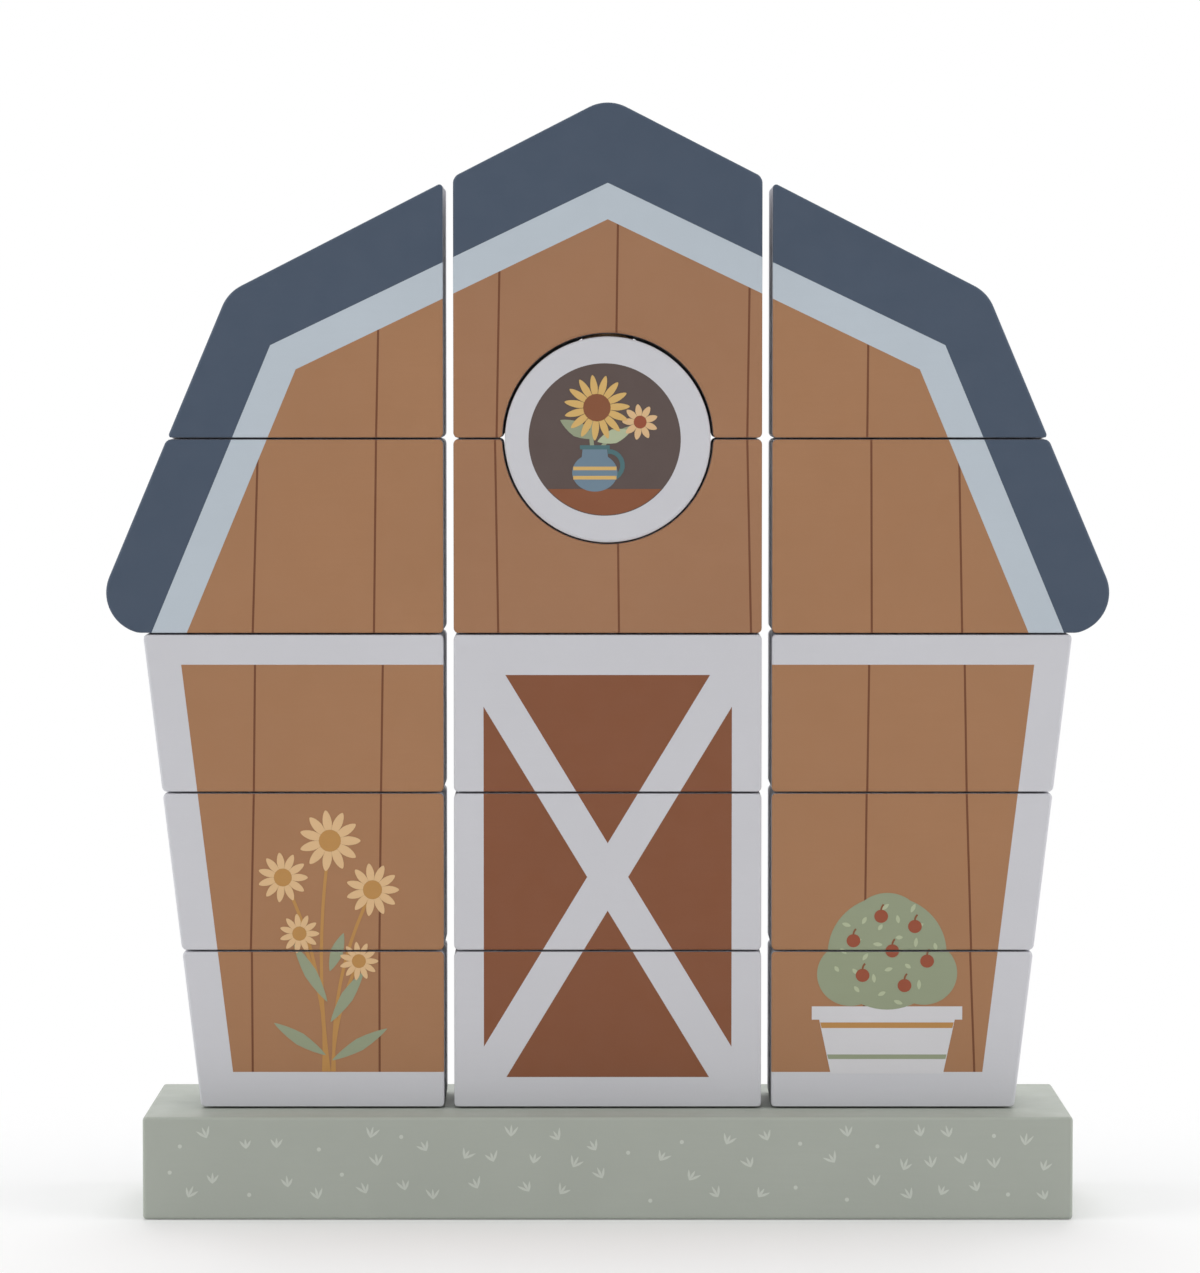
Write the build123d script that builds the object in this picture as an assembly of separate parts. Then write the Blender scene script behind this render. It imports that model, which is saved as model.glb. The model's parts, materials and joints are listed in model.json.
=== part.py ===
from build123d import *
import os

# Stacking farm toy: a barn of painted wooden blocks that drop over three pegs in a base board.
# X runs across the barn, the painted front faces -Y and Z is up. The origin is the middle of the
# base board's underside. All sizes are in millimetres.

# Base board
base_width = 180.0
base_depth = 44.0
base_height = 20.0
base_edge_round = 1.6

# Pegs, glued into the board
peg_diameter = 10.0
peg_socket_depth = 14.0
peg_glue_gap = 0.05
peg_tip_bevel = 1.8
peg_foot_bevel = 0.8
side_peg_outset = 1.25
side_peg_entry = 16.0
gable_peg_entry = 14.0

# Holes in the blocks, loose enough for a child to thread
bore_clearance = 0.6
bore_end_clearance = 2.0
bore_mouth_bevel = 0.5

# Blocks: the thickness and the edge sizes that they all share
block_depth = 22.0
corner_bevel = 0.7
face_bevel = 0.5

# Columns and rows, as seen from the front
centre_width = 60.0
column_gap = 2.0
wall_row_height = 31.0
wall_row_names = ("bottom", "middle", "top")
eaves_row_height = 38.0

# Outline of the barn: how far each part of a side stands out or in from the one below it
board_end_margin = 10.5
wall_lean = 11.0
eaves_overhang = 11.2
shoulder_inset = 28.0
shoulder_rise = 28.3
ridge_rise = 66.0
roof_round = 8.0

# Round window, loose in its two half-round notches
window_diameter = 40.0
window_clearance = 0.5
window_drop = 0.2
notch_horn_round = 1.0

# Half widths from the middle line
centre_half = centre_width / 2
side_inner = centre_half + column_gap
wall_half_bottom = base_width / 2 - board_end_margin
wall_half_top = wall_half_bottom + wall_lean
eaves_tip_half = wall_half_top + eaves_overhang
shoulder_half = eaves_tip_half - shoulder_inset

# Levels up the barn
base_top = base_height
wall_top = base_top + wall_row_height * len(wall_row_names)
eaves_top = wall_top + eaves_row_height
shoulder_level = eaves_top + shoulder_rise
ridge_level = eaves_top + ridge_rise

# Pegs and the round holes: the side pegs stand just outside the middle of the wall's foot,
# towards the weight of the eaves
peg_spacing = (side_inner + wall_half_bottom) / 2 + side_peg_outset
bore_radius = peg_diameter / 2 + bore_clearance
notch_radius = window_diameter / 2 + window_clearance
socket_floor = base_top - peg_socket_depth
side_peg_tip = eaves_top + side_peg_entry
gable_peg_tip = eaves_top + notch_radius + gable_peg_entry


def wall_half(level):
    """Half width of the leaning walls at a level."""
    share = (level - base_top) / (wall_top - base_top)
    return wall_half_bottom + share * (wall_half_top - wall_half_bottom)


def roof_half(level):
    """Half width of the steep lower roof slope at a level."""
    share = (level - wall_top) / (shoulder_level - wall_top)
    return eaves_tip_half + share * (shoulder_half - eaves_tip_half)


def roof_level(half):
    """Level of the shallow upper roof slope at a distance from the middle line."""
    share = half / shoulder_half
    return ridge_level + share * (shoulder_level - ridge_level)


def outline(points, tips=()):
    """Face through the points, with the roof's round on its tips and a bevel on other corners."""
    face = make_face(Polyline(*points, close=True))
    for point in points:
        corner = face.vertices().sort_by_distance(Vector(*point))[0]
        face = fillet(corner, roof_round) if point in tips else chamfer(corner, corner_bevel)
    return face


def sawn_block(face):
    """Saws an outline out of the board and breaks its front and back edges."""
    block = extrude(Plane.XZ * face, block_depth / 2, both=True)
    return chamfer(block.faces().filter_by(Axis.Y).edges(), face_bevel)


def bore(x, low, high):
    """Tool for a peg hole from one level to another."""
    return Pos(x, 0, (low + high) / 2) * Cylinder(bore_radius, high - low)


def bore_mouth(x, level, upwards):
    """Tool for the bevel round a hole's mouth in a flat face that looks up or down."""
    bevel = Cone(bore_radius, bore_radius + bore_mouth_bevel, bore_mouth_bevel)
    if not upwards:
        bevel = Rot(180, 0, 0) * bevel
    sign = 1 if upwards else -1
    return Pos(x, 0, level - sign * bore_mouth_bevel / 2) * bevel


def through_block(face, x, low, high):
    """Block with its peg hole right through."""
    tools = [bore(x, low, high), bore_mouth(x, low, False), bore_mouth(x, high, True)]
    return sawn_block(face) - tools


def wall_outline(low, high):
    """Side block of the wall, with its leaning outer side."""
    return outline(
        [
            (side_inner, low),
            (wall_half(low), low),
            (wall_half(high), high),
            (side_inner, high),
        ]
    )

def eaves_outline():
    """Side block with the roof's blunt tip hanging over the wall."""
    tip = (eaves_tip_half, wall_top)
    return outline(
        [
            (side_inner, wall_top),
            tip,
            (roof_half(eaves_top), eaves_top),
            (side_inner, eaves_top),
        ],
        tips=[tip],
    )

def roof_outline():
    """Top block of a side column, from the shoulder up to the inner edge."""
    shoulder = (shoulder_half, shoulder_level)
    return outline(
        [
            (side_inner, eaves_top),
            (roof_half(eaves_top), eaves_top),
            shoulder,
            (side_inner, roof_level(side_inner)),
        ],
        tips=[shoulder],
    )

def door_outline(low, high):
    """Plain block of the middle column."""
    return outline(
        [
            (-centre_half, low),
            (centre_half, low),
            (centre_half, high),
            (-centre_half, high),
        ]
    )

def gable_top_outline():
    """Ridge block of the middle column, before its notch."""
    side_level = roof_level(centre_half)
    ridge = (0, ridge_level)
    return outline(
        [
            (-centre_half, eaves_top),
            (centre_half, eaves_top),
            (centre_half, side_level),
            ridge,
            (-centre_half, side_level),
        ],
        tips=[ridge],
    )

def notched(face):
    """Cuts half of the round window out of a face and blunts the two horns."""
    face = face - Pos(0, eaves_top) * Circle(notch_radius)
    notch_ends = [Vector(side * notch_radius, eaves_top) for side in (-1, 1)]
    horns = [face.vertices().sort_by_distance(end)[0] for end in notch_ends]
    return fillet(horns, notch_horn_round)


def gable_lower():
    """Block under the window: the notch takes the place of the hole's upper mouth."""
    face = notched(door_outline(wall_top, eaves_top))
    tools = [bore(0, wall_top, eaves_top), bore_mouth(0, wall_top, False)]
    return sawn_block(face) - tools


def gable_top():
    """Block over the window: its blind hole opens into the notch."""
    hole_end = gable_peg_tip + bore_end_clearance
    return sawn_block(notched(gable_top_outline())) - bore(0, eaves_top, hole_end)


def roof_block():
    """Top block of a side column, with a blind hole."""
    hole_end = side_peg_tip + bore_end_clearance
    tools = [bore(peg_spacing, eaves_top, hole_end), bore_mouth(peg_spacing, eaves_top, False)]
    return sawn_block(roof_outline()) - tools


def round_window():
    """Disc that sits low in the notches, drilled across for the middle peg."""
    level = eaves_top - window_drop
    disc = sawn_block(Pos(0, level) * Circle(window_diameter / 2))
    return disc - bore(0, level - window_diameter / 2, level + window_diameter / 2)


def base_board():
    """Board with rounded edges and a blind socket for each peg."""
    board = Pos(0, 0, base_height / 2) * Box(base_width, base_depth, base_height)
    board = fillet(board.edges(), base_edge_round)
    socket = Cylinder(peg_diameter / 2 + peg_glue_gap, peg_socket_depth)
    level = socket_floor + peg_socket_depth / 2
    return board - [Pos(x, 0, level) * socket for x in (-peg_spacing, 0, peg_spacing)]


def peg(x, tip):
    """Dowel from the socket's floor to its tip, bevelled at both ends."""
    dowel = Pos(x, 0, (socket_floor + tip) / 2) * Cylinder(peg_diameter / 2, tip - socket_floor)
    rims = dowel.edges().filter_by(GeomType.CIRCLE).sort_by(Axis.Z)
    dowel = chamfer(rims[0], peg_foot_bevel)
    rims = dowel.edges().filter_by(GeomType.CIRCLE).sort_by(Axis.Z)
    return chamfer(rims[-1], peg_tip_bevel)


def side_column():
    """Blocks of the right-hand column by the second half of their names."""
    blocks = {}
    for row, name in enumerate(wall_row_names):
        low = base_top + row * wall_row_height
        high = low + wall_row_height
        blocks["wall_" + name] = through_block(wall_outline(low, high), peg_spacing, low, high)
    blocks["eaves"] = through_block(eaves_outline(), peg_spacing, wall_top, eaves_top)
    blocks["roof"] = roof_block()
    return blocks


def centre_column():
    """Blocks of the middle column by name, from the door up."""
    blocks = {}
    for row, name in enumerate(wall_row_names):
        low = base_top + row * wall_row_height
        high = low + wall_row_height
        blocks["door_" + name] = through_block(door_outline(low, high), 0, low, high)
    blocks["gable_lower"] = gable_lower()
    blocks["round_window"] = round_window()
    blocks["gable_top"] = gable_top()
    return blocks


def whole_toy():
    """Every piece of the toy by its node name."""
    pieces = {
        "base_board": base_board(),
        "peg_left": peg(-peg_spacing, side_peg_tip),
        "peg_centre": peg(0, gable_peg_tip),
        "peg_right": peg(peg_spacing, side_peg_tip),
    }
    pieces.update(centre_column())
    for name, block in side_column().items():
        pieces["right_" + name] = block
        pieces["left_" + name] = mirror(block, Plane.YZ)
    return pieces


os.makedirs("parts", exist_ok=True)
for name, piece in whole_toy().items():
    export_step(piece, f"parts/{name}.step")
    print(f"{name}: {piece.volume / 1000:.1f} cm3")
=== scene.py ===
# %% [markdown]
# A stacking barn toy, dressed for its portrait.
# The real toy is a set of beech blocks, sawn from one barn outline, painted, printed on the front
# and dropped over three pegs in a base board. The measured blocks come in as a fixed frame. This
# lesson makes the blocks that are seen, with soft sanded edges, paint and printed colours.

# %% Load the measured frame
import json
import math
import random

import bmesh
import bpy
from mathutils import Matrix, Vector


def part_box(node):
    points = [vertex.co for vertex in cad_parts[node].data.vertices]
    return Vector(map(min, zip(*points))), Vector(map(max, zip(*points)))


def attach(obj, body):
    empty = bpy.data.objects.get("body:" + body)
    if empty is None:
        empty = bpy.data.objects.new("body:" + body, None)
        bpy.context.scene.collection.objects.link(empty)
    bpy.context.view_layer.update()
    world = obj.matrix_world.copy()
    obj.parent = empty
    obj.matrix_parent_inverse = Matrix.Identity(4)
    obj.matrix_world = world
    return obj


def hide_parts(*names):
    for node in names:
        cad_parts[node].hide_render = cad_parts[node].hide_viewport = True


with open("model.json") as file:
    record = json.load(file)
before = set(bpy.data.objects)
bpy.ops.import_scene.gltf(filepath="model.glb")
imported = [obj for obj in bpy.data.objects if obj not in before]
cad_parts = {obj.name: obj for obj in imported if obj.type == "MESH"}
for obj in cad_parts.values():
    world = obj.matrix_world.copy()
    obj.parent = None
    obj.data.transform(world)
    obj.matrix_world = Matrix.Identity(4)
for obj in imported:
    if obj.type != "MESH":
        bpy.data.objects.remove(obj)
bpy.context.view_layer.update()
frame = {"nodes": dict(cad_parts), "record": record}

record = frame["record"]
mm = 0.001

# %% [markdown]
# The toy's levels could be typed again, but they would soon drift from the measured blocks. So
# they are read from the frame, and later place the seams, the holes and the prints.

# %% Levels and faces read from the frame
base_low, base_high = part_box("base_board")
door_low, door_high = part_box("door_top")
window_low, window_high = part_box("round_window")
block_front = door_low.y
block_back = door_high.y
base_front = base_low.y
base_top = base_high.z
wall_top = door_high.z
eaves_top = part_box("gable_lower")[1].z
centre_half = door_high.x
window_radius = (window_high.x - window_low.x) / 2
window_centre = (window_low.z + window_high.z) / 2
seam_levels = [base_top, eaves_top]
seam_levels += [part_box("door_" + row)[1].z for row in ("bottom", "middle", "top")]
print("seams at", sorted(round(level / mm, 1) for level in seam_levels), "mm")

# %% [markdown]
# The camera stood straight in front, a little above the middle of the barn and far back with a
# long lens. From near by the toy could look just as large, but more of the blocks' inner sides
# would show. So the distance comes first, and the lens fills the picture from there.

# %% Camera
aim = Vector((-1.5 * mm, block_front, 112.5 * mm))
camera_distance = 912 * mm
camera_rise = math.radians(3.03)
lens_length = 132.5
nearest_seen = 0.05
farthest_seen = 20

lens_data = bpy.data.cameras.new("camera")
lens_data.lens = lens_length
lens_data.clip_start = nearest_seen
lens_data.clip_end = farthest_seen
camera = bpy.data.objects.new("camera", lens_data)
bpy.context.collection.objects.link(camera)
away = Vector((0, -math.cos(camera_rise), math.sin(camera_rise)))
camera.location = aim + camera_distance * away
camera.rotation_euler = (math.pi / 2 - camera_rise, 0, 0)
bpy.context.scene.camera = camera
bpy.context.scene.view_settings.view_transform = "Standard"
print("camera at", [round(v / mm) for v in camera.location], "mm")

# %% [markdown]
# A paint chart gives a colour as three values from 0 to 255, while Blender calculates with linear
# light. One helper turns the first into the second by a screen's standard curve, so that every
# colour below can be written as a chart lists it.

# %% Colours from a paint chart
def chart(red, green, blue):
    """Linear colour for the three values of a paint chart."""
    linear = []
    for value in (red, green, blue):
        share = value / 255
        linear.append(share / 12.92 if share <= 0.04045 else ((share + 0.055) / 1.055) ** 2.4)
    return (*linear, 1.0)


def shade(colour, share):
    """A colour made darker or lighter."""
    return (*[channel * share for channel in colour[:3]], 1.0)


print("middle grey:", round(chart(128, 128, 128)[0], 3))

# %% [markdown]
# A material is a small graph of nodes. Every one here starts from the Principled shader, which fits
# paint and wood alike, and reads the piece's own coordinates. World coordinates would do at rest,
# but a pattern has to stay on its block when the block is lifted.

# %% Starting a material
def start_material(name):
    """A new material with its tree and its Principled shader."""
    material = bpy.data.materials.new(name)
    material.use_nodes = True
    tree = material.node_tree
    return material, tree, tree.nodes["Principled BSDF"]


def own_place(tree, stretch):
    """The piece's own coordinates, stretched along its axes."""
    place = tree.nodes.new("ShaderNodeTexCoord")
    mapping = tree.nodes.new("ShaderNodeMapping")
    mapping.inputs["Scale"].default_value = stretch
    tree.links.new(place.outputs["Object"], mapping.inputs["Vector"])
    return mapping.outputs["Vector"]


# %% [markdown]
# The look of wood and paint could come from pictures, but those have edges and one fixed size.
# Noise has neither, so it fits every block. Its values crowd round a half, so they are spread over
# the range that is wanted before they mix two colours.

# %% Noise and mixing
def noise_on(tree, stretch, scale, detail):
    """Noise that runs with the piece."""
    noise = tree.nodes.new("ShaderNodeTexNoise")
    noise.inputs["Scale"].default_value = scale
    noise.inputs["Detail"].default_value = detail
    tree.links.new(own_place(tree, stretch), noise.inputs["Vector"])
    return noise.outputs["Fac"]


def spread(tree, value, low, high, from_low=0.3, from_high=0.7):
    """Maps a noise value onto a range."""
    node = tree.nodes.new("ShaderNodeMapRange")
    node.inputs["From Min"].default_value = from_low
    node.inputs["From Max"].default_value = from_high
    node.inputs["To Min"].default_value = low
    node.inputs["To Max"].default_value = high
    tree.links.new(value, node.inputs["Value"])
    return node.outputs["Result"]


def maths(tree, operation, first, second):
    """Math node on two sockets."""
    node = tree.nodes.new("ShaderNodeMath")
    node.operation = operation
    tree.links.new(first, node.inputs[0])
    tree.links.new(second, node.inputs[1])
    return node.outputs[0]


def blend_colours(tree, share, first, second):
    """Mixes a colour or a socket with a second colour, by a share."""
    mix = tree.nodes.new("ShaderNodeMix")
    mix.data_type = "RGBA"
    tree.links.new(share, mix.inputs["Factor"])
    if isinstance(first, bpy.types.NodeSocket):
        tree.links.new(first, mix.inputs["A"])
    else:
        mix.inputs["A"].default_value = first
    mix.inputs["B"].default_value = second
    return mix.outputs["Result"]


# %% [markdown]
# The skin of paint and the pores of wood are far too fine to model. A bump map bends the light as
# if they stood up from the surface, and needs no extra faces. The heights are summed first, so
# that one Bump node serves them all.

# %% Fine relief
def add_bump(tree, shader, heights, distance):
    """Sums height fields into the shader's normal."""
    total = heights[0]
    for height in heights[1:]:
        total = maths(tree, "ADD", total, height)
    bump = tree.nodes.new("ShaderNodeBump")
    bump.inputs["Distance"].default_value = distance
    tree.links.new(total, bump.inputs["Height"])
    tree.links.new(bump.outputs["Normal"], shader.inputs["Normal"])


# %% [markdown]
# Toy paint is a matt water-based lacquer, sprayed on sanded beech. One plain colour would look
# like plastic. Three faint things turn it into paint: clouds where the coat is thicker, a fine
# orange-peel skin, and the wood's grain as long shallow ridges along the block.

# %% Matt paint
even = (1.0, 1.0, 1.0)
grain_along_x = (0.09, 1.0, 1.0)
cloud_scale = 38
streak_scale = 1400
gloss_scale = 210
peel_scale = 1900
ridge_scale = 800
gloss_swing = 0.07
paint_relief = 0.008 * mm
paint_shine = 0.32


def paint(name, colour, clouds=0.03, roughness=0.56):
    """Matt paint over sanded wood."""
    material, tree, shader = start_material(name)
    cloud = spread(tree, noise_on(tree, even, cloud_scale, 4), 0, 1)
    streak = spread(tree, noise_on(tree, grain_along_x, streak_scale, 3), 0, 0.4)
    base = blend_colours(tree, cloud, shade(colour, 1 - clouds), shade(colour, 1 + clouds))
    base = blend_colours(tree, streak, base, shade(colour, 1 - clouds * 0.8))
    tree.links.new(base, shader.inputs["Base Color"])
    gloss = noise_on(tree, even, gloss_scale, 3)
    gloss = spread(tree, gloss, roughness - gloss_swing, roughness + gloss_swing)
    tree.links.new(gloss, shader.inputs["Roughness"])
    peel = spread(tree, noise_on(tree, even, peel_scale, 2), 0, 0.6)
    ridges = spread(tree, noise_on(tree, grain_along_x, ridge_scale, 4), 0, 1.0)
    add_bump(tree, shader, [peel, ridges], paint_relief)
    shader.inputs["Specular IOR Level"].default_value = paint_shine
    return material


# %% [markdown]
# The blocks are white, with a print of blue, browns and pale blue on their fronts. One material
# could work out its colour from the place, but a material for each colour stays sharp from near
# by. The gable is a touch darker than the walls.

# %% Paints and prints of the barn
finish_of = {
    "white": paint("white_paint", chart(206, 206, 211), 0.015),
    "trim": paint("trim_white_print", chart(189, 199, 208)),
    "roof": paint("roof_blue_print", chart(68, 81, 99)),
    "barn": paint("barn_brown_print", chart(165, 120, 85)),
    "gable": paint("gable_brown_print", chart(161, 117, 85)),
    "door": paint("door_brown_print", chart(131, 80, 52)),
    "line": paint("plank_line_print", chart(112, 66, 40)),
    "dark": paint("window_dark_print", chart(90, 76, 72)),
    "sage": paint("sage_paint", chart(169, 174, 165)),
}
print("paints:", ", ".join(finish_of))

# %% [markdown]
# Bare beech shows on the pegs and inside the holes. It is pale and pinkish, with soft growth bands
# and the short dark flecks that tell it from other woods. Both run along the grain, so noise that
# is stretched along the dowel or the block makes them.

# %% Bare beech
grain_along_z = (1.0, 1.0, 0.07)
bore_grain = (0.07, 1.0, 1.0)
band_scale = 420
fleck_scale = 1500
fleck_shortening = 2.2
fleck_depth = 0.55
fleck_onset = (0.58, 0.7)
beech_relief = 0.015 * mm


def beech(name, along):
    """Sanded beech with its grain along one axis, given as a stretch of the noise."""
    material, tree, shader = start_material(name)
    bands = spread(tree, noise_on(tree, along, band_scale, 5), 0, 1)
    base = blend_colours(tree, bands, chart(214, 178, 138), chart(192, 150, 108))
    shorter = tuple(1.0 if share == 1.0 else share * fleck_shortening for share in along)
    flecks = spread(tree, noise_on(tree, shorter, fleck_scale, 2), 0, fleck_depth, *fleck_onset)
    base = blend_colours(tree, flecks, base, chart(146, 102, 66))
    tree.links.new(base, shader.inputs["Base Color"])
    tree.links.new(spread(tree, bands, 0.5, 0.64, 0, 1), shader.inputs["Roughness"])
    add_bump(tree, shader, [bands, flecks], beech_relief)
    return material


finish_of["peg_wood"] = beech("beech_along_peg", grain_along_z)
finish_of["bore_wood"] = beech("beech_in_bore", bore_grain)

# %% [markdown]
# The small pictures are printed in a short palette. Ink is a matt film like the paint below it,
# only a shade rougher, so the same function makes it.

# %% Inks of the small pictures
ink_roughness = 0.6
ink_charts = {
    "cream": (221, 184, 138),
    "mustard": (186, 138, 78),
    "gold": (214, 176, 108),
    "leaf": (148, 156, 129),
    "fleck": (178, 186, 154),
    "bark": (134, 82, 54),
    "apple": (150, 78, 54),
    "tub": (213, 212, 215),
    "blue": (110, 132, 148),
    "teal": (78, 112, 116),
    "tuft": (196, 201, 192),
}
ink_of = {
    name: paint(name + "_ink", chart(*values), roughness=ink_roughness)
    for name, values in ink_charts.items()
}
print("materials:", len(bpy.data.materials))

# %% [markdown]
# Shapes are worked in a bmesh, which is Blender's workbench. A measured mesh comes as loose
# triangles, so its points are merged first. The last helper saws along a plane.

# %% Workbench helpers
merge_distance = 0.002 * mm


def merge(bm, distance=merge_distance):
    """Joins points that lie together."""
    bmesh.ops.remove_doubles(bm, verts=bm.verts, dist=distance)


def measured(node):
    """Copy of a node's measured mesh, with its loose triangles joined up."""
    bm = bmesh.new()
    bm.from_mesh(frame["nodes"][node].data)
    merge(bm)
    return bm


def cut(bm, place, across, faces=None, **clear):
    """Cuts some faces or all of a mesh along a plane, and can clear away what is beside it."""
    geom = bm.verts[:] + bm.edges[:] + bm.faces[:]
    if faces is not None:
        edges = {e for f in faces for e in f.edges}
        verts = {v for f in faces for v in f.verts}
        geom = faces + list(edges) + list(verts)
    bmesh.ops.bisect_plane(bm, geom=geom, plane_co=place, plane_no=across, **clear)


# %% [markdown]
# The maker saws every block from one drawing of the barn. The measured meshes could be painted as
# they are, but long thin triangles catch the light badly. So only the outline is taken over: a cut
# through the mesh, just clear of the peg hole, leaves it as loose edges. Filled, they are one flat
# face with few points. The window is simply a circle.

# %% Outline of a block
slice_level = -8 * mm
disc_steps = 144
straight = math.radians(0.6)


def disc_outline():
    """Mesh with one round face, the size of the window."""
    middle = Matrix.Translation((window_low + window_high) / 2)
    bm = bmesh.new()
    bmesh.ops.create_circle(
        bm, cap_ends=True, segments=disc_steps, radius=window_radius,
        matrix=middle @ Matrix.Rotation(math.pi / 2, 4, "X"),
    )
    return bm


def outline_of(node):
    """Mesh with one face: the block's outline as seen from the front."""
    if node == "round_window":
        return disc_outline()
    bm = measured(node)
    cut(bm, (0, slice_level, 0), (0, 1, 0), clear_inner=True, clear_outer=True)
    merge(bm)
    bmesh.ops.contextual_create(bm, geom=bm.edges[:])
    bmesh.ops.dissolve_limit(bm, angle_limit=straight, verts=bm.verts, edges=bm.edges)
    return bm


# %% [markdown]
# Then the outline is worked as the maker works the wood. The saw's sharp corners are eased with a
# few strokes, and the face is pulled out to the thickness of the board. It is simpler to round a
# corner while the shape is flat than to bevel the long edge of a solid.

# %% Ease the corners and give the thickness
corner_turn = math.radians(25)
corner_ease = 0.4 * mm
corner_steps = 3
short_edge = 0.06 * mm


def ease_corners(bm):
    """Rounds the sharp corners of an outline."""
    sharp = [v for v in bm.verts if v.calc_edge_angle(0) > corner_turn]
    bmesh.ops.bevel(
        bm, geom=sharp, offset=corner_ease, segments=corner_steps, profile=0.5,
        affect="VERTICES", material=-1, clamp_overlap=True,
    )
    merge(bm, short_edge)


def pulled_back(bm, depth):
    """Gives a flat shape a thickness towards the back."""
    pulled = bmesh.ops.extrude_face_region(bm, geom=bm.faces[:])["geom"]
    moved = [item for item in pulled if isinstance(item, bmesh.types.BMVert)]
    bmesh.ops.translate(bm, verts=moved, vec=(0, depth, 0))
    bmesh.ops.recalc_face_normals(bm, faces=bm.faces)


def thicken(bm):
    """Pulls the outline into a solid as thick as the measured block."""
    for v in bm.verts:
        v.co.y = block_front
    pulled_back(bm, block_back - block_front)


# %% [markdown]
# Sandpaper rounds the front and back rims by half a millimetre. It is little, but the soft line of
# light it leaves makes the wood look handled. A Bevel modifier would round every edge alike, so
# the bevel is made here, on the two rims alone.

# %% Sand the rims
rim = 0.5 * mm
rim_steps = 3
close = 0.01 * mm


def sand_rims(bm):
    """Rounds the front and back rims."""
    bm.normal_update()
    edges = []
    for depth in (block_front, block_back):
        edges += [e for e in bm.edges if all(abs(v.co.y - depth) < close for v in e.verts)]
    bmesh.ops.bevel(
        bm, geom=edges, offset=rim, segments=rim_steps, profile=0.5, affect="EDGES", material=-1,
    )


# %% [markdown]
# Two flat ends pressed together would hardly show a line. Sanding leaves the real ends leaning
# back by a hair towards the front and the back, and that makes the thin dark line of each seam. A
# dark stripe of paint would look right from the front only. The board does not lean, so the block
# that stands on it leans twice as far. The middle stays flat and carries the block.

# %% Ends that lean back at the seams
seam_relief = 0.2 * mm
relief_start = 7 * mm


def relief_at(level):
    """How far an end leans back at a level: twice as far on the board, else only at a seam."""
    if abs(level - base_top) < close:
        return 2 * seam_relief
    return seam_relief if any(abs(level - seam) < close for seam in seam_levels) else 0


def relieve_seams(bm, node):
    """Leans the touching ends back towards the front and back edges."""
    for depth in (-relief_start, relief_start):
        cut(bm, (0, depth, 0), (0, 1, 0))
    low, high = (corner.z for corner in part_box(node))
    for v in bm.verts:
        if abs(v.co.y) > relief_start + close:
            v.co.z = min(max(v.co.z, low + relief_at(low)), high - relief_at(high))


# %% [markdown]
# The notch in the ridge block is a little wider than the disc under it. The bright room behind
# would shine through a straight slit, while the real slit is dark. So the middle of the notch's
# wall is brought close to the disc and stops the light.

# %% Notch over the window
notch_radius = 20.5 * mm
disc_play = 0.12 * mm
level_wall = 0.1


def window_distance(vert):
    """Distance of a point from the axis of the round notch."""
    return math.hypot(vert.co.x, vert.co.z - eaves_top)


def crown_notch(bm):
    """Brings the middle of the notch's wall close to the disc."""
    wall = [
        f for f in bm.faces
        if all(window_distance(v) < notch_radius + close for v in f.verts)
        and abs(f.normal.y) < level_wall
    ]
    cut(bm, (0, 0, 0), (0, 1, 0), wall)
    disc = (window_low + window_high) / 2
    disc.y = 0
    reach = (window_high.z - window_low.z) / 2 + disc_play
    for v in bm.verts:
        if abs(v.co.y) < close and window_distance(v) < notch_radius + close:
            v.co = disc + (v.co - disc).normalized() * reach


# %% [markdown]
# So far a shape is only a bmesh, which the scene does not know. This puts it into a mesh, and the
# mesh into an object. The place is in the mesh, so the object itself stays at the origin.

# %% From the workbench to the scene
def object_from(bm, name):
    """Turns a bmesh into an object in the scene."""
    mesh = bpy.data.meshes.new(name)
    bm.to_mesh(mesh)
    bm.free()
    made = bpy.data.objects.new(name, mesh)
    bpy.context.collection.objects.link(made)
    return made


# %% [markdown]
# A drill leaves a round hole with a broken edge at its mouth. Such a turned shape is made by
# spinning its profile about the drill's axis, which gives a plug with flared ends. The plug's
# faces carry the second material slot, so that the hole's wall comes out as bare wood.

# %% Shape of a peg hole
peg_low, peg_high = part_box("peg_left")
peg_radius = (peg_high.x - peg_low.x) / 2
bore_clearance = 0.6 * mm
bore_radius = peg_radius + bore_clearance
mouth = 0.5 * mm
past_face = 1 * mm
bore_steps = 64
wood_slot = 1


def bore_plug(x, low, high, blind):
    """Object with the shape of a hole, flared at its open ends."""
    profile = [
        (0, low - past_face), (bore_radius + mouth, low - past_face),
        (bore_radius + mouth, low), (bore_radius, low + mouth),
    ]
    if blind:
        profile += [(bore_radius, high), (0, high)]
    else:
        profile += [
            (bore_radius, high - mouth), (bore_radius + mouth, high),
            (bore_radius + mouth, high + past_face), (0, high + past_face),
        ]
    bm = bmesh.new()
    points = [bm.verts.new((x + radius, 0, level)) for radius, level in profile]
    edges = [bm.edges.new(pair) for pair in zip(points, points[1:])]
    bmesh.ops.spin(
        bm, geom=points + edges, cent=(x, 0, 0), axis=(0, 0, 1), angle=2 * math.pi,
        steps=bore_steps, use_merge=True,
    )
    merge(bm)
    bmesh.ops.recalc_face_normals(bm, faces=bm.faces)
    for face in bm.faces:
        face.material_index = wood_slot
        face.smooth = True
    return object_from(bm, "plug")


# %% [markdown]
# The holes follow the pegs, so their places are read from the pegs' boxes. The roof and ridge
# blocks have blind holes, because the pegs stop inside them. Faces round a hole could be bridged
# by hand, but an exact Boolean also copes with the round notch and the disc's curved side.

# %% Drill a block
end_play = 2 * mm
blind_blocks = ("left_roof", "right_roof", "gable_top")


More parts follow.
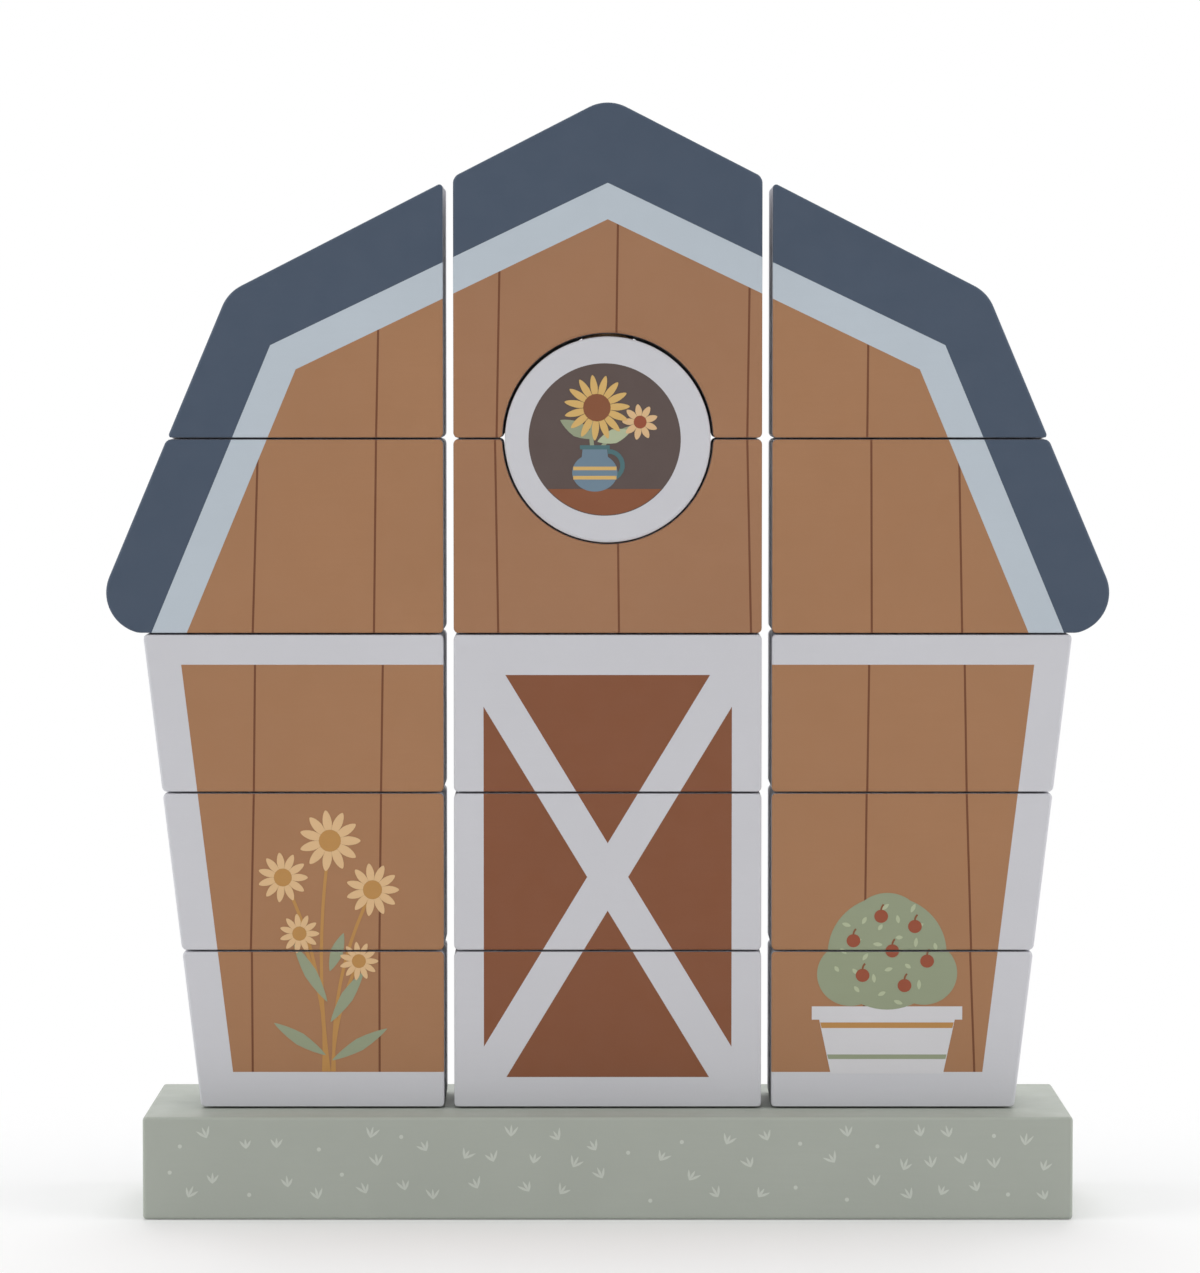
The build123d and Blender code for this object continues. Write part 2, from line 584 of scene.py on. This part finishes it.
def hole_of(node):
    """Axis, low end, high end and whether the hole is blind."""
    column = node.split("_")[0]
    peg_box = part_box("peg_" + (column if column in ("left", "right") else "centre"))
    low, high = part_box(node)
    blind = node in blind_blocks
    top = peg_box[1].z + end_play if blind else high.z
    return (peg_box[0].x + peg_box[1].x) / 2, low.z, top, blind


def drilled(block, plug):
    """Mesh of the block with the plug's shape taken out of it."""
    drill = block.modifiers.new("bore", "BOOLEAN")
    drill.object = plug
    drill.operation = "DIFFERENCE"
    drill.solver = "EXACT"
    shape = block.evaluated_get(bpy.context.evaluated_depsgraph_get())
    mesh = bpy.data.meshes.new_from_object(shape)
    bpy.data.objects.remove(plug)
    bpy.data.objects.remove(block)
    return mesh


print("the ridge block's hole ends at", round(hole_of("gable_top")[2] / mm, 1), "mm")

# %% [markdown]
# The print on the front is a map of flat colours. A picture on a UV map would blur from near by.
# Lines stay sharp, so the print is kept as lines: the gambrel line of the roof, and the frame of
# the walls and the door. A signed distance says on which side of a line a point is.

# %% Lines of the barn's print
print_apex = Vector((0, 200.5)) * mm
print_shoulder = Vector((65.5, 169.1)) * mm
print_eave = Vector((88.9, 113.0)) * mm
trim_width = 6.35 * mm
frame_foot = Vector((72.4, 20.0)) * mm
frame_head = Vector((83.8, 113.0)) * mm
frame_bottom = 27.2 * mm
frame_top = 107.0 * mm
door_half = 24.2 * mm
door_bottom = 26.2 * mm
door_top = 105.0 * mm
brace_middle = 65.5 * mm
brace_slope = 1.65
brace_rise = 6.6 * mm
pane_radius = 14.8 * mm
pane_x = -0.6 * mm


def inward(point, start, end):
    """Distance of a point from a line, positive on the line's right-hand side."""
    run = (end - start).normalized()
    offset = point - start
    return offset.x * run.y - offset.y * run.x


def roof_depth(x, z):
    """How far a point of the front lies inside the roof's printed edge."""
    point = Vector((abs(x), z))
    return min(inward(point, print_apex, print_shoulder), inward(point, print_shoulder, print_eave))


# %% [markdown]
# With those distances one small function can name the colour at any point of the front: first of
# the window and the door, then of the walls, and last of roof, trim and boards.

# %% The barn's colours as a map
def colour_at(node, x, z):
    """Name of the colour printed at a point of a node's front."""
    if node == "round_window":
        return "dark" if math.hypot(x - pane_x, z - window_centre) < pane_radius else "white"
    if node.startswith("door"):
        in_panel = abs(x) < door_half and door_bottom < z < door_top
        rise = z - brace_middle
        in_brace = min(abs(rise - brace_slope * x), abs(rise + brace_slope * x)) < brace_rise
        return "door" if in_panel and not in_brace else "white"
    if z < wall_top:
        in_frame = inward(Vector((abs(x), z)), frame_head, frame_foot) > 0
        return "barn" if in_frame and frame_bottom < z < frame_top else "white"
    depth = roof_depth(x, z)
    if depth < 0:
        return "roof"
    if depth < trim_width:
        return "trim"
    return "gable" if abs(x) < centre_half else "barn"


for x, z in ((60, 175), (60, 168), (60, 160)):
    print("at", x, z, "mm:", colour_at("right_roof", x * mm, z * mm))

# %% [markdown]
# The plank lines are drawn by hand on the real print, so they lean a little and do not quite meet
# from block to block. Ruled lines would look stiff. Each line is written as its distance from the
# middle at the block's top and foot, in millimetres.

# %% Plank lines
line_width = 0.42 * mm
plank_lines = {
    "left_roof": [(-43.9, -45.0)],
    "left_eaves": [(-67.9, -69.1), (-45.0, -45.5)],
    "left_wall_top": [(-68.6, -69.0), (-43.7, -44.2)],
    "left_wall_middle": [(-69.0, -69.7), (-44.2, -44.6)],
    "left_wall_bottom": [(-69.5, -69.4), (-44.6, -44.6)],
    "gable_top": [(-20.4, -21.6), (2.3, 1.4), (28.0, 27.1)],
    "gable_lower": [(-21.9, -21.3), (1.8, 2.2), (27.1, 27.9)],
    "right_roof": [(50.8, 50.4)],
    "right_eaves": [(51.2, 51.4), (68.2, 69.0)],
    "right_wall_top": [(51.0, 50.6), (69.4, 70.0)],
    "right_wall_middle": [(50.5, 50.2), (70.0, 71.0)],
    "right_wall_bottom": [(50.2, 50.0), (70.8, 72.0)],
}


def plank_ends(node):
    """Each plank line of a block as its upper and lower point."""
    low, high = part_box(node)
    return [
        (Vector((top * mm, high.z)), Vector((foot * mm, low.z)))
        for top, foot in plank_lines.get(node, [])
    ]


def on_plank_line(node, centre):
    """Whether a point of the front lies on one of the block's plank lines."""
    point = Vector((centre.x, centre.z))
    return any(abs(inward(point, top, foot)) < line_width / 2 for top, foot in plank_ends(node))


# %% [markdown]
# A face can only have one material, so every line of the print has to become an edge. Bisect cuts
# the front faces along a line without taking anything away. It runs over the sanded rim too,
# because the print wraps round it, but not over the block's ends, which stay white.

# %% Cut the front along a line
prints_from = -0.15


def front_faces(bm, limit):
    """Faces near the front that look at the camera by at least this much."""
    bm.normal_update()
    return [
        f for f in bm.faces
        if f.normal.y < limit and f.calc_center_median().y < -relief_start
    ]


def score(bm, start, end):
    """Cuts the front faces along the line through two points."""
    run = end - start
    cut(bm, (start.x, 0, start.y), (-run.y, 0, run.x), front_faces(bm, prints_from))


# %% [markdown]
# Only the lines that meet a block are worth cutting into it. The door blocks share their panel and
# its X brace, the walls their frame, and the blocks above them the edges of roof and trim. The
# barn's two halves mirror each other, so walls and roof have their lines written once.

# %% Lines that each block needs
def moved_in(start, end, distance):
    """The line through two points, moved to its inner side."""
    run = (end - start).normalized()
    step = Vector((run.y, -run.x)) * distance
    return start + step, end + step


def door_edges():
    """Lines round the door's panel and along its brace."""
    lines = [(Vector((side * door_half, 0)), Vector((0, 1))) for side in (-1, 1)]
    lines += [(Vector((0, level)), Vector((1, 0))) for level in (door_bottom, door_top)]
    for lean in (-brace_slope, brace_slope):
        for rise in (-brace_rise, brace_rise):
            lines.append((Vector((0, brace_middle + rise)), Vector((1, lean))))
    return [(start, start + run * mm) for start, run in lines]


def print_edges(node):
    """Every line on which the print changes colour in a block."""
    if node == "round_window":
        return []
    if node.startswith("door"):
        return door_edges()
    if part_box(node)[1].z < wall_top + close:
        lines = [(frame_head, frame_foot)]
        lines += [(Vector((0, z)), Vector((1 * mm, z))) for z in (frame_bottom, frame_top)]
    else:
        lines = []
        for start, end in ((print_apex, print_shoulder), (print_shoulder, print_eave)):
            lines += [(start, end), moved_in(start, end, trim_width)]
    mirrored = [(Vector((-a.x, a.y)), Vector((-b.x, b.y))) for a, b in lines]
    return lines + mirrored


# %% [markdown]
# After the cuts each small face lies in one colour only, and its middle tells which. The window's
# pane is round, which straight cuts can't make, so its flat front is inset instead. The pane sits
# a little off the middle, as a print does on a disc that is placed by hand.

# %% Give each face of the front its colour
flat_front = -0.999


def inset_pane(bm):
    """Draws the round pane on the disc's flat front."""
    pane = front_faces(bm, flat_front)
    border = window_radius - rim - pane_radius
    bmesh.ops.inset_region(bm, faces=pane, thickness=border, use_even_offset=True)
    bmesh.ops.translate(bm, verts=list({v for f in pane for v in f.verts}), vec=(pane_x, 0, 0))


def print_front(bm, node, slots):
    """Cuts and colours the front of a block, and adds its colours to the slots."""
    for start, end in print_edges(node):
        score(bm, start, end)
    for top, foot in plank_ends(node):
        for side in (-line_width / 2, line_width / 2):
            shift = Vector((side, 0))
            score(bm, top + shift, foot + shift)
    for face in front_faces(bm, prints_from):
        centre = face.calc_center_median()
        name = colour_at(node, centre.x, centre.z)
        if name in ("barn", "gable") and on_plank_line(node, centre):
            name = "line"
        if name not in slots:
            slots.append(name)
        face.material_index = slots.index(name)


# %% [markdown]
# Smooth shading rounds the light over the sanded rim, but it would also make the large flat faces
# look swollen near their borders. So the edge between a flat face and its rim is marked sharp.

# %% Light on flat and curved faces
facing = 0.9999
hard_corner = math.radians(38)


def shade_block(bm):
    """Soft light on curved faces, and a crisp border round flat ones."""
    bm.normal_update()
    for face in bm.faces:
        face.smooth = True
    for edge in bm.edges:
        flat = {abs(face.normal.y) > facing for face in edge.link_faces}
        edge.smooth = len(flat) == 1 and edge.calc_face_angle(0) < hard_corner


# %% [markdown]
# Now the steps come together in the maker's order: saw, ease, sand, drill. The wall of the hole
# keeps the plug's slot of bare wood, and all the rest starts out white.

# %% Saw and drill a block
def sawn_block(node):
    """Drilled block before its print, with white paint outside and bare wood in its hole."""
    bm = outline_of(node)
    ease_corners(bm)
    thicken(bm)
    sand_rims(bm)
    relieve_seams(bm, node)
    if node == "gable_top":
        crown_notch(bm)
    bmesh.ops.connect_verts_nonplanar(bm, faces=bm.faces[:], angle_limit=straight)
    bmesh.ops.recalc_face_normals(bm, faces=bm.faces)
    raw = object_from(bm, node + "_raw")
    raw.data.materials.append(finish_of["white"])
    raw.data.materials.append(finish_of["bore_wood"])
    mesh = drilled(raw, bore_plug(*hole_of(node)))
    bm = bmesh.new()
    bm.from_mesh(mesh)
    bpy.data.meshes.remove(mesh)
    return bm


# %% [markdown]
# Paint and print come last. All sixteen blocks go through one function, so that their seams and
# edges are alike. Each finished block rides on the body of its own name and stands in for the
# measured one.


def make_block(node):
    """A finished, printed block that stands for its CAD node."""
    bm = sawn_block(node)
    slots = ["white", "bore_wood"]
    if node == "round_window":
        inset_pane(bm)
    print_front(bm, node, slots)
    shade_block(bm)
    block = object_from(bm, "painted_" + node)
    for name in slots:
        block.data.materials.append(finish_of[name])
    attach(block, node)
    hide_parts(node)
    return block


blocks = [body for body in record["behaviour"]["bodies"] if body != "stand"]
painted = {node: make_block(node) for node in blocks}
print("blocks:", len(painted), "faces:", sum(len(b.data.polygons) for b in painted.values()))

# %% [markdown]
# The base board is a plain sawn beam with its edges just broken. A cube scaled to the measured
# box is all it needs. The picture shows crisp corners, so the bevel is small. A cylinder is taken
# out for each peg's glued foot, with a hair of room for glue.

# %% Base board
board_edge = 0.7 * mm
board_edge_steps = 3
glue_gap = 0.05 * mm
pegs = ("peg_left", "peg_centre", "peg_right")


def beam():
    """Board with its broken edges."""
    bm = bmesh.new()
    bmesh.ops.create_cube(bm, size=1)
    bmesh.ops.scale(bm, vec=base_high - base_low, verts=bm.verts)
    bmesh.ops.translate(bm, vec=(base_low + base_high) / 2, verts=bm.verts)
    bmesh.ops.bevel(
        bm, geom=bm.edges[:], offset=board_edge, segments=board_edge_steps, profile=0.5,
        affect="EDGES", material=-1,
    )
    return object_from(bm, "beam")


def socket_plug(peg):
    """Object with the shape of the hole that a peg's foot is glued into."""
    low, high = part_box(peg)
    top = base_top + past_face
    radius = peg_radius + glue_gap
    bm = bmesh.new()
    bmesh.ops.create_cone(
        bm, cap_ends=True, segments=bore_steps, radius1=radius, radius2=radius, depth=top - low.z,
        matrix=Matrix.Translation(((low.x + high.x) / 2, 0, (low.z + top) / 2)),
    )
    return object_from(bm, "plug")


def base_board():
    """Board with a socket for each peg."""
    board = beam()
    for peg in pegs:
        mesh = drilled(board, socket_plug(peg))
        board = bpy.data.objects.new("finished_base_board", mesh)
        bpy.context.collection.objects.link(board)
    return board


# %% [markdown]
# The board and the pegs are one body, the stand. Each is painted or left bare. Weighted Normal lets
# the large faces lead the light, so the bevels look round and the faces flat.

# %% Finish the stand's pieces
largest_faces_lead = 100


def finish_stand(made, node, finish):
    """Paints or leaves bare a piece of the stand, and softens its edges."""
    for face in made.data.polygons:
        face.use_smooth = True
    made.data.materials.clear()
    made.data.materials.append(finish_of[finish])
    made.data.set_sharp_from_angle(angle=hard_corner)
    weights = made.modifiers.new("soft_edges", "WEIGHTED_NORMAL")
    weights.keep_sharp = True
    weights.weight = largest_faces_lead
    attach(made, "stand")
    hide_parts(node)
    print(node, "has", len(made.data.polygons), "faces")


finish_stand(base_board(), "base_board", "sage")

# %% [markdown]
# A peg is a dowel with a bevelled tip. It could be spun from a profile, but the measured meshes
# are already round and bevelled, so copies of them do, with their flat parts joined up.

# %% Pegs
for peg in pegs:
    bm = measured(peg)
    bmesh.ops.dissolve_limit(bm, angle_limit=straight, verts=bm.verts, edges=bm.edges)
    finish_stand(object_from(bm, "finished_" + peg), peg, "peg_wood")

# %% [markdown]
# The little pictures are drawn like paper cut-outs: ovals, pointed leaves, curved stems and
# tapered boxes. Cut into the block like the barn's lines they would need hundreds of cuts, so they
# lie on top. Each shape lies a thousandth of a millimetre over the last, so the order of drawing
# decides what covers what.

# %% A drawing in layers
ink_height = 0.04 * mm
layer_height = 0.001 * mm


class Drawing:
    """Flat shapes in front of one plane, each laid over the last."""

    def __init__(self, front, origin=(0, 0)):
        self.mesh = bmesh.new()
        self.inks = []
        self.front = front
        self.origin = Vector((origin[0], 0, origin[1])) * mm
        self.height = ink_height

    def lay(self, ink, verts, matrix=Matrix()):
        """Places the newest shape, given in millimetres, and inks it."""
        if ink not in self.inks:
            self.inks.append(ink)
        self.height += layer_height
        bmesh.ops.transform(self.mesh, matrix=Matrix.Scale(mm, 4) @ matrix, verts=verts)
        for v in verts:
            v.co += self.origin
            v.co.y = self.front - self.height
            for face in v.link_faces:
                face.material_index = self.inks.index(ink)


# %% [markdown]
# Blender makes its flat shapes lying on the ground and two units wide. One matrix gives a shape its
# size, stands it up and puts it in its place on the front. A leaf is an oval with its ends drawn in
# to points, and a tub is a box with its upper side stretched.

# %% Ovals, leaves and boxes
oval_steps = 20
wide_oval_steps = 64
leaf_point = 0.35


def way_of(turn):
    """Direction on the front that is turned to the left from upright by degrees."""
    return Vector((-math.sin(math.radians(turn)), math.cos(math.radians(turn))))


def upright(centre, turn, width, height):
    """Sizes a flat shape, stands it up at a place on the front and turns it to the left."""
    place = Matrix.Translation((centre[0], 0, centre[1]))
    lean = Matrix.Rotation(-math.radians(turn), 4, "Y")
    stand = Matrix.Rotation(math.pi / 2, 4, "X")
    return place @ lean @ stand @ Matrix.Diagonal((width / 2, height / 2, 1, 1))


def oval(drawing, ink, centre, width, height, turn=0, point=0, steps=oval_steps):
    """Oval, turned by degrees. With a point above 0 its ends are drawn in like a leaf's."""
    ring = bmesh.ops.create_circle(drawing.mesh, cap_ends=True, segments=steps, radius=1)["verts"]
    for v in ring:
        v.co.x *= max(0, 1 - abs(v.co.y)) ** point
    drawing.lay(ink, ring, upright(centre, turn, width, height))


def leaf(drawing, ink, foot, length, width, turn):
    """Pointed leaf that grows from its foot, turned by degrees from upright."""
    middle = Vector(foot) + way_of(turn) * length / 2
    oval(drawing, ink, middle, width, length, turn, leaf_point)


def box(drawing, ink, centre, width, height, top=1.0):
    """Box whose upper side is a share of its width."""
    corners = bmesh.ops.create_grid(drawing.mesh, x_segments=1, y_segments=1, size=1)["verts"]
    for v in corners:
        v.co.x *= top if v.co.y > 0 else 1
    drawing.lay(ink, corners, upright(centre, 0, width, height))


# %% [markdown]
# A stem is a short line across its foot, spun along an arc. The arc follows from the stem's two
# ends and from how far it bows out between them, which are what the eye can judge.

# %% Curved stems
stem_steps = 10


def stem(drawing, ink, start, end, bulge, width):
    """Ribbon along an arc from start to end that bows out by the bulge."""
    start, end = Vector(start), Vector(end)
    chord = end - start
    radius = (chord.length ** 2 / 4 + bulge ** 2) / (2 * bulge)
    centre = (start + end) / 2 + chord.orthogonal().normalized() * (bulge - radius)
    across = (start - centre).normalized() * width / 2
    pair = [drawing.mesh.verts.new((p.x, 0, p.y)) for p in (start - across, start + across)]
    edge = drawing.mesh.edges.new(pair)
    old = set(drawing.mesh.verts) - set(pair)
    bmesh.ops.spin(
        drawing.mesh, geom=pair + [edge], cent=(centre.x, 0, centre.y), axis=(0, 1, 0),
        angle=(start - centre).angle_signed(end - centre), steps=stem_steps,
    )
    drawing.lay(ink, [v for v in drawing.mesh.verts if v not in old])


# %% [markdown]
# A print dips with the wood where a block's rim is sanded, and ends in the seam. One flat sheet
# would bridge the seam. So a drawing is cut at each block's ends, bent back over the rim and given
# the thickness of ink, once for every block that carries a part of it.

# %% Press a drawing onto a block
ink_body = 0.2 * mm


def cut_level(bm, level, **clear):
    """Cuts a drawing at a level, and can take away what is above or below."""
    cut(bm, (0, 0, level), (0, 0, 1), **clear)


def rim_drop(inset):
    """How far the front lies back at a distance from a block's sanded end."""
    if inset >= rim:
        return 0
    return rim - math.sqrt(rim ** 2 - (rim - inset) ** 2)


def press(drawing, node, body):
    """Makes the piece of a drawing that a node carries."""
    bm = drawing.mesh.copy()
    low, high = (corner.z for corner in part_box(node))
    if relief_at(low) or relief_at(high):
        cut_level(bm, low + relief_at(low), clear_inner=True)
        cut_level(bm, high - relief_at(high), clear_outer=True)
        for level in (low + rim / 2, low + rim, high - rim, high - rim / 2):
            cut_level(bm, level)
        for v in bm.verts:
            v.co.y += rim_drop(min(v.co.z - low, high - v.co.z))
    pulled_back(bm, ink_body)
    made = object_from(bm, "printed_" + node)
    for ink in drawing.inks:
        made.data.materials.append(ink_of[ink])
    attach(made, body)
    print(made.name, "has", len(made.data.polygons), "faces")


# %% [markdown]
# A flower could be traced from a drawing, but a ring of petals round a heart is quicker and easy
# to change. The petals overlap a little near the heart, so no wall shows between them there.

# %% A flower
petal_crowding = 2.1
petal_point = 0.12
first_petal = 8


def flower(drawing, centre, reach, petals, petal_ink, heart_ink, heart_share=0.36):
    """Ring of petals round a heart."""
    centre = Vector(centre)
    length = reach * (1 - heart_share * 0.6)
    width = petal_crowding * math.pi * reach * 0.5 / petals
    for k in range(petals):
        turn = 360 * k / petals + first_petal
        middle = centre + way_of(turn) * (reach - length / 2)
        oval(drawing, petal_ink, middle, width, length, turn, petal_point)
    oval(drawing, heart_ink, centre, 2 * reach * heart_share, 2 * reach * heart_share)


# %% [markdown]
# On the left wall a bunch of daisies grows from the foot of the barn. Each has its head's place,
# its reach and the bow of its stem, in millimetres. Stems are drawn first, leaves over them and
# the heads last, so that nothing crosses a flower.

# %% Daisies on the left wall
daisy_petals = 11
stem_width = 0.62
leaf_width = 2.5
foot_spread = 0.12
bunch_foot = Vector((-54.5, 27.3))
daisies = [
    ((-54.2, 72.6), 6.0, 1.6),
    ((-63.4, 65.4), 4.9, -2.6),
    ((-45.9, 63.0), 5.2, 2.4),
    ((-60.2, 54.4), 3.9, -1.6),
    ((-48.6, 49.0), 3.8, 1.2),
]
daisy_leaves = [(41, 13, 30), (37, 12, -33), (30.5, 12, 58), (29.5, 12.5, -60), (47, 8, -20)]

bunch = Drawing(block_front)
for head, _, bulge in daisies:
    foot = bunch_foot + Vector(((head[0] - bunch_foot.x) * foot_spread, 0))
    stem(bunch, "mustard", foot, head, bulge, stem_width)
for level, length, turn in daisy_leaves:
    leaf(bunch, "leaf", (bunch_foot.x - turn * 0.01, level), length, leaf_width, turn)
for head, reach, _ in daisies:
    flower(bunch, head, reach, daisy_petals, "cream", "mustard")
for node in ("left_wall_bottom", "left_wall_middle"):
    press(bunch, node, node)

# %% [markdown]
# On the right wall stands a small apple tree in a white tub. Its crown is a few overlapping ovals.
# Pale flecks are the light on its leaves: spaced by the golden angle, as a sunflower's seeds are,
# they spread evenly without a grid. A seeded chance turns them, so each run draws the same tree.

# %% Apple tree on the right wall
crown = Vector((54.6, 50.6))
crown_radius = 11.6
crown_ovals = ((0, 0, 1), (-0.62, -0.36, 0.56), (0.62, -0.34, 0.56), (0, 0.42, 0.62))
crown_flatness = 0.96
golden_angle = math.pi * (3 - math.sqrt(5))
fleck_count = 26
fleck_reach = crown_radius * 0.9
apple_spots = [
    (-6.6, 2.4), (-1.2, 7.2), (5.4, 5.2), (1.0, 0.4), (7.8, -1.6), (-4.8, -4.4), (3.4, -6.4),
]

tree = Drawing(block_front)
box(tree, "bark", (crown.x, 40.5), 3.2, 8, 0.75)
box(tree, "tub", (crown.x, 32.6), 22, 11.4, 1.22)
box(tree, "tub", (crown.x, 38.8), 29.4, 2.6)
box(tree, "mustard", (crown.x, 36.4), 25.6, 1.1, 1.02)
box(tree, "leaf", (crown.x, 30.2), 22.9, 0.9, 1.02)
for shift, rise, radius in crown_ovals:
    middle = crown + Vector((shift, rise)) * crown_radius
    across = 2 * radius * crown_radius
    oval(tree, "leaf", middle, across, across * crown_flatness, steps=wide_oval_steps)
chance = random.Random(11)
for number in range(fleck_count):
    angle = number * golden_angle
    reach = fleck_reach * math.sqrt((number + 0.5) / fleck_count)
    spot = crown + Vector((math.cos(angle), math.sin(angle))) * reach
    oval(tree, "fleck", spot, 0.8, chance.uniform(1.3, 1.9), chance.uniform(0, 180), 0.2)
for shift, rise in apple_spots:
    apple = crown + Vector((shift, rise))
    oval(tree, "apple", apple, 2.7, 2.6)
    stem(tree, "bark", apple + Vector((0, 1.1)), apple + Vector((0.5, 2.3)), 0.15, 0.36)
for node in ("right_wall_bottom", "right_wall_middle"):
    press(tree, node, node)

# %% [markdown]
# In the round window a sunflower leans out of a blue jug. All of it keeps inside the dark pane, so
# only the sill has to be trimmed: it is the foot of a circle. Places are counted from the pane's
# middle, so the drawing goes where the pane goes.

# %% Sunflower in the window
sill_level = -9.6
sill_margin = 0.3
jug_x = -1.9
jug = Drawing(block_front, (pane_x / mm, window_centre / mm))
sill_width = 2 * pane_radius / mm - sill_margin
oval(jug, "bark", (0, 0), sill_width, sill_width, steps=wide_oval_steps)
cut_level(jug.mesh, window_centre + sill_level * mm, clear_outer=True)
stem(jug, "leaf", (-2.2, -2.5), (-1.4, 6.0), 0.7, 0.8)
stem(jug, "leaf", (-1.2, -2.5), (6.8, 2.6), 1.2, 0.7)
leaf(jug, "leaf", (jug_x, 0.2), 7.6, 3.0, 62)
leaf(jug, "fleck", (-1.4, -0.4), 6.8, 2.8, -72)
stem(jug, "teal", (1.4, -7.6), (0.6, -2.3), 2.9, 0.9)
oval(jug, "blue", (jug_x, -6.4), 8.8, 7.4, steps=wide_oval_steps)
box(jug, "blue", (jug_x, -3.0), 5.4, 3.4, 0.86)
box(jug, "teal", (jug_x, -1.5), 5.8, 0.8)
box(jug, "gold", (jug_x, -5.6), 8.4, 0.7)
box(jug, "gold", (jug_x, -7.4), 8.4, 0.7)
flower(jug, (6.9, 3.4), 3.5, 9, "cream", "apple")
flower(jug, (-1.5, 6.2), 6.4, 15, "gold", "bark", 0.42)
press(jug, "round_window", "round_window")

# %% [markdown]
# Pale tufts of grass and seed dots are strewn over the front of the base. Rows would look stiff,
# and pure chance leaves clumps. So the places are drawn from a seeded chance, and a place too near
# another one is passed over. Every fourth place gets a dot.

# %% Tufts on the base
tuft_count = 78
tuft_margin = Vector((5.0, 3.6))
tuft_spacing = 5.4
tries_each = 60
blade_turns = (-34, 0, 34)
blade_width = 0.5
dot_width = 0.8


def strewn(count, low, high, spacing, seed):
    """Places in a box, none of them too near another."""
    draw = random.Random(seed)
    places = []
    for _ in range(count * tries_each):
        place = Vector((draw.uniform(low.x, high.x), draw.uniform(low.y, high.y)))
        if len(places) < count and all((place - other).length > spacing for other in places):
            places.append(place)
    return places


field_low = Vector((base_low.x, base_low.z)) / mm + tuft_margin
field_high = Vector((base_high.x, base_high.z)) / mm - tuft_margin
grass = Drawing(base_front)
chance = random.Random(5)
for number, place in enumerate(strewn(tuft_count, field_low, field_high, tuft_spacing, 3)):
    grass.height = ink_height
    lean = chance.uniform(-35, 35)
    if number % 4 == 3:
        oval(grass, "tuft", place, dot_width, dot_width)
        continue
    for turn in blade_turns:
        leaf(grass, "tuft", place, chance.uniform(1.9, 2.5), blade_width, turn + lean)
press(grass, "base_board", "stand")

# %% [markdown]
# The toy stands on white paper that has no horizon. Close to it the floor is an ordinary matt
# surface and takes the soft shadow. Further out it fades, where it is plainly seen, into the white
# of the world. Making the room bright enough to burn the floor out would also bleach the toy.

# %% Floor that fades to white
fade_start = 0.035
fade_end = 0.15
along_base = (0.4, 1, 1)


def plainly_seen(tree):
    """1 for rays that show the background itself: to the camera, in a gloss or through glass."""
    rays = tree.nodes.new("ShaderNodeLightPath")
    total = rays.outputs["Is Camera Ray"]
    for kind in ("Is Glossy Ray", "Is Transmission Ray"):
        total = maths(tree, "MAXIMUM", total, rays.outputs[kind])
    return total


def white_ground():
    """Matt floor that fades to plain white away from the toy."""
    material, tree, shader = start_material("studio_floor")
    shader.inputs["Base Color"].default_value = (0.92, 0.92, 0.92, 1)
    shader.inputs["Roughness"].default_value = 0.9
    length = tree.nodes.new("ShaderNodeVectorMath")
    length.operation = "LENGTH"
    tree.links.new(own_place(tree, along_base), length.inputs[0])
    far = spread(tree, length.outputs["Value"], 0, 1, fade_start, fade_end)
    plain = tree.nodes.new("ShaderNodeEmission")
    plain.inputs["Color"].default_value = (1, 1, 1, 1)
    mix = tree.nodes.new("ShaderNodeMixShader")
    tree.links.new(maths(tree, "MULTIPLY", far, plainly_seen(tree)), mix.inputs["Fac"])
    tree.links.new(shader.outputs["BSDF"], mix.inputs[1])
    tree.links.new(plain.outputs["Emission"], mix.inputs[2])
    tree.links.new(mix.outputs["Shader"], tree.nodes["Material Output"].inputs["Surface"])
    return material


floor_half = 2.5
floor_mesh = bmesh.new()
bmesh.ops.create_grid(floor_mesh, x_segments=1, y_segments=1, size=floor_half)
floor = object_from(floor_mesh, "floor")
floor.data.materials.append(white_ground())

# %% [markdown]
# The world fills the picture's background with plain white, and it lights the toy softly from all
# sides at less than half that strength. Light Path keeps the two apart.

# %% World
room_light = 0.42
world = bpy.data.worlds.new("studio")
bpy.context.scene.world = world
world.use_nodes = True
air = world.node_tree
sky = air.nodes["Background"]
sky.inputs["Color"].default_value = (1, 1, 1, 1)
level = air.nodes.new("ShaderNodeMapRange")
level.inputs["To Min"].default_value = room_light
air.links.new(plainly_seen(air), level.inputs["Value"])
air.links.new(level.outputs["Result"], sky.inputs["Strength"])

# %% [markdown]
# Large soft boxes stand where a studio has them: overhead, at each side, low in front and behind.
# Small lamps would throw hard shadows, which the picture does not have. The lamp behind brightens
# the floor and the tops of the blocks, but not their fronts.

# %% Soft boxes
toy_middle = Vector((0, 0, 0.11))


def softbox(name, place, size, watts):
    """Square area lamp that looks at the middle of the toy."""
    lamp = bpy.data.lights.new(name, "AREA")
    lamp.shape = "SQUARE"
    lamp.size = size
    lamp.energy = watts
    holder = bpy.data.objects.new(name, lamp)
    bpy.context.collection.objects.link(holder)
    holder.location = place
    holder.rotation_euler = (toy_middle - Vector(place)).to_track_quat("-Z", "Y").to_euler()
    print(name, "lamp:", watts, "W")


softbox("overhead", (0, -0.15, 1.4), 1.3, 3.4)
softbox("left_wall", (-1.3, -0.2, 0.6), 1.2, 8.4)
softbox("right_wall", (1.3, -0.2, 0.6), 1.2, 8.4)
softbox("low_front", (0, -1.5, 0.1), 1.2, 3)
softbox("behind", (0, 1.3, 1.35), 1.3, 12)
